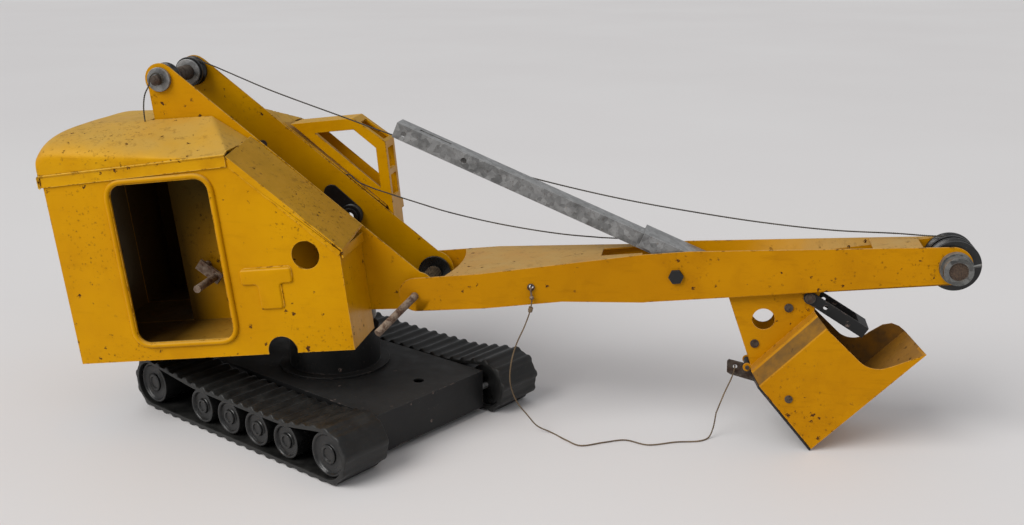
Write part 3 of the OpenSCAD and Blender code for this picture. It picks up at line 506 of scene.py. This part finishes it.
HOIST = [in_house(*p) for p in around((-87, 62), 24.5, 10.3, [300, 240, 180])
         + around(HUB, 24.5, 10.5, [180, 140, 100, 66])
         + [(-30, 24, 191), (29, 23.5, 163.5), (62, 22, 148.5), (120, 20, 124), (175, 18, 103.5),
            (245, 16, 81), (310, 14, 64), (360, 13, 52.5), (410, 11, 43.5), (457, 9, 38), (478, 8, 35)]
         + around(TIP, 8, 16.7, [84, 50, 15, -20, -55])]
CROWD = [in_house(*p) for p in [(-8, 33.2, 102), (8, 33.2, 109), (18, 33.2, 114.5), (23, 32, 114.2),
                                (28, 30, 109.5), (40, 29, 103), (57, 28, 96), (80, 26.5, 87), (104, 25, 78),
                                (148, 22, 65), (197, 19, 54), (230, 17, 49), (258, 15.3, 46.2),
                                (268, 15.3, 45.5)]]
DUMP = ([in_house(*p) for p in [(178, -37, 16.6), (176, -37, 9), (170, -37, -4), (161, -37, -20),
                                (155, -36.5, -36), (152.5, -36, -52), (156, -36, -68)]]
        + [SLEW + Vector(p) * MM for p in [(171, -36, 15.5), (179, -35, 6), (190, -34, 0.8), (203, -46, 0.8),
                                    (216, -55, 0.8), (234, -46, 0.8), (250, -39, 0.8), (268, -45, 0.8),
                                    (290, -36, 0.8), (308, -31, 0.8), (315, -24, 1.2), (318, -20, 7),
                                    (320, -18, 20), (326, -13, 36), (331, -8, 47), (333, -4, 53.2),
                                    (333.2, 0, 54.3)]])
TAIL = [in_house(*p) for p in around(HUB, -38, 5.6, [-30, 30, 90, 150])
        + [(-105, -38, 211), (-110, -38, 204), (-113, -37.5, 196), (-114.5, -37, 188), (-115, -36.5, 178),
           (-114, -36.5, 166)]]
CORD = 0.7 * MM


def cord(name, route, look, replaces=(), body=None, bend=None):
    """A twisted string along a route of CAD points, riding on a body or bending across a joint."""
    line = curve_through(route)
    verts, faces = sweep(line, CORD, 330, 0.34)
    obj = piece(name, verts, faces, look, body, "string", 60, replaces)
    if bend:
        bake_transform(obj, *bend)
    return obj


cord("hoist_string", HOIST, "string", ["hoist_cord"], bend=("house", "boom", HOIST[6], HOIST[10]))
cord("crowd_string", CROWD[:12], "string", ["crowd_cord"], bend=("house", "boom", CROWD[3], CROWD[9]))
cord("crowd_string_end", CROWD[11:], "string", bend=("boom", "saddle", CROWD[11], CROWD[13]))
cord("dump_string_hook", DUMP[:11], "tan", ["dump_cord"], bend=("boom", "saddle", DUMP[0], DUMP[10]))
cord("dump_string_floor", DUMP[10:20], "tan", bend=("saddle", "dipper", DUMP[10], DUMP[19]))
cord("dump_string_lever", DUMP[19:], "tan", bend=("dipper", "door", DUMP[19], DUMP[23]))
cord("tail_string", TAIL, "string", ["tail_cord"], body="house")


# -------------------------------------------------------- roof: one pressed dome with a turned-down rim
ROOF_BACK, ROOF_FOLD, ROOF_FRONT, ROOF_HALF = -186.0, -60.0, -31.0, 86.0
SLOT_BACK, SLOT_HALF = -112.0, 33.5


def roof_z(x, y):
    w = min(1.0, abs(y) / ROOF_HALF)
    rear = 154 + 31 * (1 - w ** 4) ** 0.25
    front = 158 + 24 * min(1, (ROOF_HALF - abs(y)) / 53)
    m = min(1, max(0, (x - ROOF_BACK) / (ROOF_FOLD - ROOF_BACK))) ** 1.4
    ease = 1 - (1 - min(1, (x - ROOF_BACK) / 14)) ** 3
    low = 154 + 4 * m
    full = (1 - m) * rear + m * front
    facet = max(158, 182 - 0.75 * (x - ROOF_FOLD))
    return min(facet, low + (full - low) * (0.7 + 0.3 * ease))


def roof():
    xs = ([ROOF_BACK + 14 * (k / 12) ** 1.8 for k in range(12)]
          + list(np.linspace(ROOF_BACK + 14, SLOT_BACK, 20))
          + list(np.linspace(SLOT_BACK, ROOF_FOLD, 16))[1:]
          + list(np.linspace(ROOF_FOLD, ROOF_FRONT, 18))[1:])
    half = [ROOF_HALF * math.sin(math.pi / 2 * k / 40) for k in range(41)]
    half = sorted(set([h for h in half if abs(h - SLOT_HALF) > 1.5] + [SLOT_HALF]))
    ys = [-h for h in half[:0:-1]] + half
    rim = [(9.0, 0.5), (8.2, 0.3), (4.0, 0.0), (1.5, 0.1), (0.9, 0.5), (0.5, 0.9), (0.0, 1.0), (-0.5, 0.7)]
    verts, faces = [], []
    rows = []
    for x in xs:
        row = []
        t = (x - ROOF_BACK) / (ROOF_FRONT - ROOF_BACK)
        for drop, out in rim:
            row.append((x, -ROOF_HALF - out, 154 + 4 * t - drop))
        for y in ys:
            bow = 0.35 * noise.noise(Vector((x * 0.03, y * 0.03, 1)))
            row.append((x, y, roof_z(x, y) + bow))
        for drop, out in rim[::-1]:
            row.append((x, ROOF_HALF + out, 154 + 4 * t - drop))
        rows.append(row)
    back = [[(ROOF_BACK, y, z - (z - 145) * f) for _, y, z in rows[0]] for f in (1.0, 0.94, 0.5, 0.06)]
    rows = back + rows
    n = len(rows[0])
    for row in rows:
        verts += [in_house(*p) for p in row]
    for i in range(len(rows) - 1):
        for j in range(n - 1):
            corner = [rows[i][j], rows[i][j + 1], rows[i + 1][j + 1], rows[i + 1][j]]
            x = sum(c[0] for c in corner) / 4
            y = sum(c[1] for c in corner) / 4
            z = sum(c[2] for c in corner) / 4
            if x > SLOT_BACK and abs(y) < SLOT_HALF and z > 158:
                continue
            if i < 4 and len({c for c in corner}) < 4:
                continue
            faces.append((i * n + j, i * n + j + 1, (i + 1) * n + j + 1, (i + 1) * n + j))
    obj = piece("roof_dome", verts, faces, "roof", None, "yellow")
    bm = bmesh.new()
    bm.from_mesh(obj.data)
    bmesh.ops.remove_doubles(bm, verts=bm.verts, dist=1e-5)
    bmesh.ops.dissolve_degenerate(bm, dist=1e-6, edges=bm.edges)
    bmesh.ops.recalc_face_normals(bm, faces=bm.faces)
    bm.to_mesh(obj.data)
    bm.free()
    skin = obj.modifiers.new("skin", "SOLIDIFY")
    skin.thickness = 1.2 * MM
    skin.offset = -1
    crease = obj.modifiers.new("round", "BEVEL")
    crease.width = 0.7 * MM
    crease.segments = 3
    crease.limit_method = "ANGLE"
    crease.angle_limit = math.radians(24)
    crease.harden_normals = True
    baked(obj)
    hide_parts("roof_panel")
    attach(obj, "house")


# ---------------------------------------------------------------- crawlers
GAUGE, WHEELBASE, AXIS_Z, BELT_IN = 175.0, 220.0, 22.5, 18.0
ROLLERS = [-43, -8, 27, 62]
ROLLER_Z, ROLLER_R, WHEEL_R, AXLE_R = 19.0, 14.0, 17.5, 2.5
SAG_Z = ROLLER_Z + ROLLER_R + 0.5


def belt_path():
    """The belt's inner line: a closed run of points and the distance along it, from under the middle
    forwards.
    """
    h = WHEELBASE / 2
    low = AXIS_Z - BELT_IN
    line = [(x, low) for x in np.linspace(0, h, 60)]
    half_turn = np.linspace(0, math.pi, 50)
    line += [(h + BELT_IN * math.sin(a), AXIS_Z - BELT_IN * math.cos(a)) for a in half_turn[1:]]
    top = [(h, AXIS_Z + BELT_IN), (h - 8, AXIS_Z + BELT_IN - 1.0), (ROLLERS[3] + 10, SAG_Z + 0.9),
           (ROLLERS[3], SAG_Z), (ROLLERS[0], SAG_Z), (ROLLERS[0] - 10, SAG_Z + 0.7),
           (-h + 8, AXIS_Z + BELT_IN - 0.8), (-h, AXIS_Z + BELT_IN)]
    soft = curve_through([(x, 0, z) for x, z in top], 2.0)
    line += [(p.x, p.z) for p in soft[1:-1]]
    line += [(-h - BELT_IN * math.sin(a), AXIS_Z + BELT_IN * math.cos(a)) for a in half_turn[:-1]]
    line += [(x, low) for x in np.linspace(-h, 0, 60)[:-1]]
    p = np.array(line + line[:1])
    run = np.concatenate([[0], np.cumsum(np.hypot(*np.diff(p, axis=0).T))])
    return p, run


def belt(side, name, node, soft_front):
    p, run = belt_path()
    teeth = 45
    per = 12
    count = teeth * per
    s = np.linspace(0, run[-1], count + 1)[:-1]
    px, pz = np.interp(s, run, p[:, 0]), np.interp(s, run, p[:, 1])
    tx, tz = np.roll(px, -1) - np.roll(px, 1), np.roll(pz, -1) - np.roll(pz, 1)
    long = np.hypot(tx, tz)
    nx, nz = tz / long, -tx / long
    shape = [0, 0, 0.03, 0.5, 1.3, 1.5, 1.5, 1.35, 0.6, 0.05, 0, 0]
    across = [-22, -21.6, -20.6, -14, -7, 0, 7, 14, 20.6, 21.6, 22]
    edge = [0.9, 0.3, 0, 0, 0, 0, 0, 0, 0, 0.3, 0.9]
    verts, faces = [], []
    for i in range(count):
        lug = shape[i % per]
        slack = max(0.0, min(1.0, (px[i] - 50) / 40)) if soft_front else 0.0
        for j, y in enumerate(across):
            wave = noise.noise(Vector((px[i] * 0.06, y * 0.05, pz[i] * 0.06 + side * 9)))
            fine = noise.noise(Vector((px[i] * 0.25, y * 0.12, pz[i] * 0.25)))
            up = 3.0 + 1.5 * lug * (1 - 0.45 * slack) + 0.25 * wave + 0.1 * fine - edge[j] * (0.5 + 0.5 * lug)
            up += slack * 0.5 * wave
            verts.append((px[i] + nx[i] * up, y + 0.3 * wave, pz[i] + nz[i] * up))
        for j, y in enumerate(reversed(across)):
            inner = 0.25 if abs(y) > 21.8 else 0.0
            verts.append((px[i] + nx[i] * inner, y, pz[i] + nz[i] * inner))
    n = 2 * len(across)
    for i in range(count):
        k = (i + 1) % count
        for j in range(n):
            m = (j + 1) % n
            faces.append((i * n + j, k * n + j, k * n + m, i * n + m))
    verts = [CHASSIS @ Vector((x * MM, (y + side * GAUGE / 2) * MM, max(z, 0.02) * MM)) for x, y, z in verts]
    obj = piece(name, verts, faces, "rubber", "chassis", "rubber", 50, [node])
    return obj


def lathe(name, profile, at, side, look, body, slot, replaces=(), steps=56):
    """Turns (radius, distance along the axle) points about an axle along the chassis's Y."""
    verts, faces = [], []
    n = len(profile)
    for i in range(steps):
        a = 2 * math.pi * i / steps
        for r, w in profile:
            verts.append(CHASSIS @ Vector(((at[0] + r * math.cos(a)) * MM, (at[1] + side * w) * MM,
                                           (at[2] + r * math.sin(a)) * MM)))
    for i in range(steps):
        k = (i + 1) % steps
        for j in range(n - 1):
            quad = [i * n + j, k * n + j, k * n + j + 1, i * n + j + 1]
            faces.append(quad if side > 0 else quad[::-1])
    obj = piece(name, verts, faces, look, None, slot, 40)
    bm = bmesh.new()
    bm.from_mesh(obj.data)
    bmesh.ops.remove_doubles(bm, verts=bm.verts, dist=2e-6)
    bmesh.ops.dissolve_degenerate(bm, dist=1e-7, edges=bm.edges)
    bmesh.ops.recalc_face_normals(bm, faces=bm.faces)
    bm.to_mesh(obj.data)
    bm.free()
    obj.data.set_sharp_from_angle(angle=math.radians(40))
    if replaces:
        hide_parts(*replaces)
    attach(obj, body)
    return obj


def wheel_profile(r, bore):
    """Moulded wheel: tyre face, thin bright rim, dished web, stepped hub, blind axle hole behind."""
    w = 19.0
    return [(bore, -w), (r * 0.55, -w), (r - 0.5, -w), (r - 0.1, -w + 0.2), (r, -w + 0.6),
            (r, w - 0.9), (r - 0.15, w - 0.3), (r - 0.6, w), (r - 1.6, w), (r - 2.1, w - 0.3),
            (r - 2.5, w - 1.2), (r * 0.78, w - 2.2), (r * 0.6, w - 2.4), (r * 0.46, w - 2.3),
            (r * 0.43, w - 1.9), (r * 0.42, w - 0.4), (r * 0.4, w - 0.1), (r * 0.3, w), (r * 0.28, w - 0.5),
            (r * 0.26, w - 1.0),
            (0.01, w - 1.1)]


def crawlers():
    for side, word in ((-1, "right"), (1, "left")):
        belt(side, word + "_rubber_belt", word + "_belt", side < 0)
        y = side * GAUGE / 2
        for end, x in (("front", 110), ("rear", -110)):
            node = "%s_%s_wheel" % (word, end)
            lathe("look_" + node, wheel_profile(WHEEL_R, AXLE_R + 0.05), (x, y, AXIS_Z), side, "plastic",
                  BODY_OF[node], "plastic", [node])
        for i, x in enumerate(ROLLERS, 1):
            node = "%s_roller_%d" % (word, i)
            lathe("look_" + node, wheel_profile(ROLLER_R, 2.05), (x, y, ROLLER_Z), side, "plastic",
                  BODY_OF[node], "plastic", [node])


# ---------------------------------------------------------------- wound string on the winch
def windings():
    line = []
    turns = 19
    for k in range(turns * 20):
        a = 2 * math.pi * k / 20
        r = 6.2 + 0.15 * noise.noise(Vector((k * 0.11, 0, 0)))
        y = 21.5 - 1.42 * k / 20
        line.append(in_house(FOOT[0] + r * math.cos(a), y, FOOT[1] + r * math.sin(a)))
    verts, faces = sweep(line, 0.68 * MM, 330, 0.3, 8)
    piece("winch_windings", verts, faces, "tan", "winch", "string", 60)


# ---------------------------------------------------------------- pressed details of the side panels
def rounded(points, r, n=6):
    """A closed outline with its corners rounded by r."""
    out = []
    for i, p in enumerate(points):
        p = Vector(p)
        u = (Vector(points[i - 1]) - p).normalized()
        v = (Vector(points[(i + 1) % len(points)]) - p).normalized()
        start, end = p + u * r, p + v * r
        for k in range(n + 1):
            t = k / n
            out.append(start * (1 - t) ** 2 + p * 2 * t * (1 - t) + end * t * t)
    return out


def pressing(name, outline, y, out, lift, slope):
    """A raised flat area of the sheet with rolled sides: outline in X and Z, lift above the face y."""
    n = len(outline)
    rings = [(0.0, -0.2), (0.0, 0.02)] + [(slope * (1 - math.cos(a)), lift * math.sin(a))
                                         for a in [math.radians(15 * k) for k in range(1, 7)]]
    centre = sum(outline, Vector((0, 0))) / n
    verts, faces = [], []
    for inset, h in rings:
        for i, p in enumerate(outline):
            t = (outline[(i + 1) % n] - outline[i - 1]).normalized()
            side = Vector((-t.y, t.x))
            q = p + side * inset
            verts.append(in_house(q.x, y + out * h, q.y))
    for k in range(len(rings) - 1):
        for i in range(n):
            j = (i + 1) % n
            faces.append((k * n + i, k * n + j, (k + 1) * n + j, (k + 1) * n + i))
    faces.append(tuple(range((len(rings) - 1) * n, len(rings) * n)))
    if out > 0:
        faces = [f[::-1] for f in faces]
    return piece(name, verts, faces, "paint", "house", "yellow", 50)


def panels():
    badge = rounded([(-36, 69), (-36, 56.5), (-23, 56.5), (-23, 36.5), (-4.5, 36.5), (-4.5, 56.5), (6, 56.5),
                     (6, 69)], 3)
    pressing("raised_badge", badge, -85.0, -1, 2.0, 1.8)
    for side, word in ((-1, "right"), (1, "left")):
        low, high = (-132.5, 12.5), (-46.5, 144.5)
        ring = rounded([low, (high[0], low[1]), high, (low[0], high[1])], 15, 12)
        line = [in_house(p.x, side * 85.6, p.y) for p in ring]
        verts, faces = sweep(line + line[:1], 2.1 * MM, 0, 0, 12, False)
        piece(word + "_door_bead", verts, faces, "paint", "house", "yellow", 60)


# ---------------------------------------------------------------- small pieces the CAD leaves out
def coil(at, way, r, wire, count, look, name, body, slot):
    """A close coil of wire about a point: count turns of radius r along way."""
    way = Vector(way).normalized()
    side = way.orthogonal().normalized()
    other = way.cross(side)
    line = []
    for k in range(24 * count + 1):
        a = math.pi * k / 12
        line.append(Vector(at) + way * wire * 1.7 * (k / 24 - count / 2)
                    + r * (math.cos(a) * side + math.sin(a) * other))
    verts, faces = sweep(line, wire)
    piece(name, verts, faces, look, body, slot, 60)


def small_pieces():
    plug = sweep([in_house(-49, 30.6, 147), in_house(-49, 33.2, 147)], 3.6 * MM, sides=32)
    piece("cheek_plug", *plug, "dark", "house", "rust", 40)
    coil(DUMP[1], DUMP[2] - DUMP[0], 1.2 * MM, 0.7 * MM, 3, "tan", "hook_knot", "boom", "string")
    coil(in_house(178, -35.2, 26.3), (0, -1, 0), 2.5 * MM, 0.5 * MM, 1,
          "dark", "hook_eyelet", "boom", "rust")


DONE = {"roof_panel", "right_belt", "left_belt", "hoist_cord", "crowd_cord", "dump_cord", "tail_cord"}
DONE |= {n for n in BODY_OF if n.endswith("_wheel") or "_roller_" in n}
for cad_node in frame["nodes"]:
    if cad_node not in DONE:
        refine(cad_node)
roof()
crawlers()
windings()
panels()
small_pieces()


# ---------------------------------------------------------------- floor and light
def floor_look():
    m = Nodes("pale_floor")
    soft = m.noise(0.9, 3)
    color = m.mix(m.span(soft, 0.3, 0.7), rgb(0.71, 0.69, 0.69), rgb(0.745, 0.73, 0.73))
    return m.finish(color, 0.6, normal=m.bump(m.noise(300, 2), 0.0001, 0.2))


def stage():
    bpy.ops.mesh.primitive_plane_add(size=24, location=(0, 0, 0))
    floor = bpy.context.object
    floor.name = "floor"
    floor.data.materials.append(floor_look())
    world = bpy.data.worlds.new("studio")
    world.use_nodes = True
    world.node_tree.nodes["Background"].inputs[0].default_value = (0.96, 0.975, 1.0, 1)
    world.node_tree.nodes["Background"].inputs[1].default_value = 0.43
    bpy.context.scene.world = world


def softbox(name, at, to, size, watts, color=(1, 1, 1)):
    light = bpy.data.objects.new(name, bpy.data.lights.new(name, "AREA"))
    bpy.context.collection.objects.link(light)
    light.data.shape = "RECTANGLE"
    light.data.size, light.data.size_y = size
    light.data.energy = watts
    light.data.color = color
    way = Vector(to) - Vector(at)
    light.matrix_world = Matrix.Translation(at) @ way.to_track_quat("-Z", "Y").to_matrix().to_4x4()


stage()
sun = bpy.data.objects.new("sun", bpy.data.lights.new("sun", "SUN"))
bpy.context.collection.objects.link(sun)
sun.data.energy = 2.15
sun.data.angle = math.radians(42)
sun.data.color = (1, 0.985, 0.96)
sun.matrix_world = Vector((-0.6, -0.65, 0.75)).to_track_quat("Z", "Y").to_matrix().to_4x4()
softbox("key", (-1.1, -1.5, 1.3), (0.0, 0, 0.15), (0.9, 0.9), 5, (1, 0.98, 0.95))
softbox("strip", (0.9, -1.2, 1.4), (0.2, 0, 0.1), (1.4, 0.4), 2.5, (0.95, 0.97, 1))
